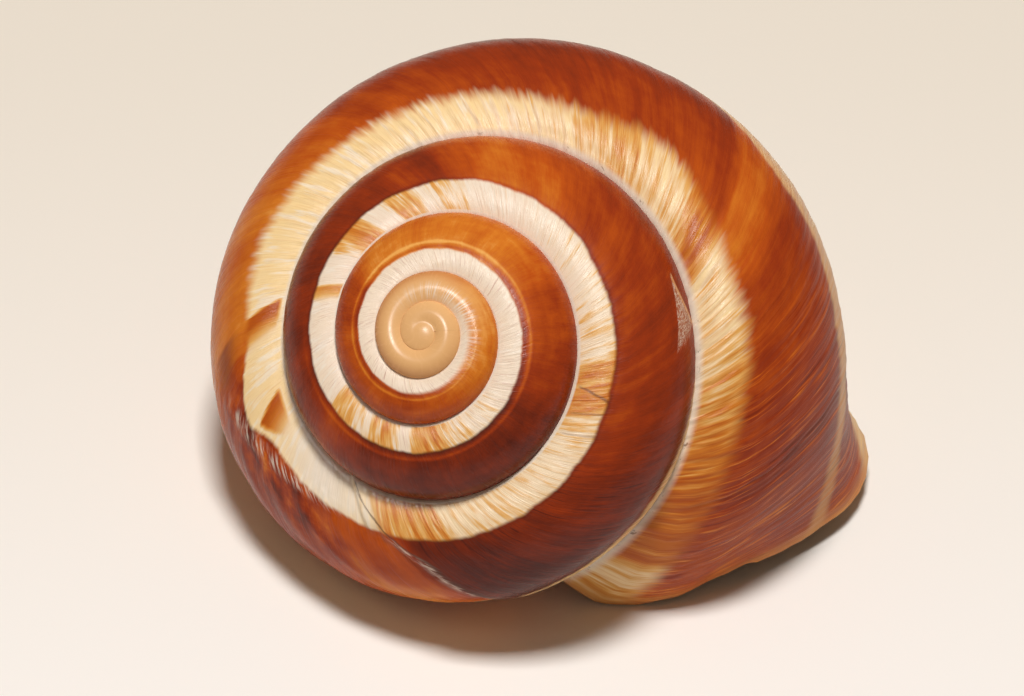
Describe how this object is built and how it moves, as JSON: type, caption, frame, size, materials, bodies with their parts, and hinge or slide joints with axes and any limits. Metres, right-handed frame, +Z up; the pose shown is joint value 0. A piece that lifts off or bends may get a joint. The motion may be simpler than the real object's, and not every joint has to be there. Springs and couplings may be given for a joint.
{
  "type": "garden snail shell",
  "caption": "Empty coiled shell of a banded garden snail, lying mouth down on its thin flared lip; a round hollow mouth opens underneath.",
  "frame": {"origin": "centre of the bounding box at its bottom, on the surface that the shell lies on", "axes": "+Z up; +X across the shell from the far side of the last whorl to the mouth; +Y from the spire's side to the back"},
  "size_m": [0.0383, 0.0298, 0.0244],
  "materials": {
    "shell": "glossy brown and cream bands"
  },
  "bodies": {
    "root": {"shell": "shell"}
  },
  "joints": []
}
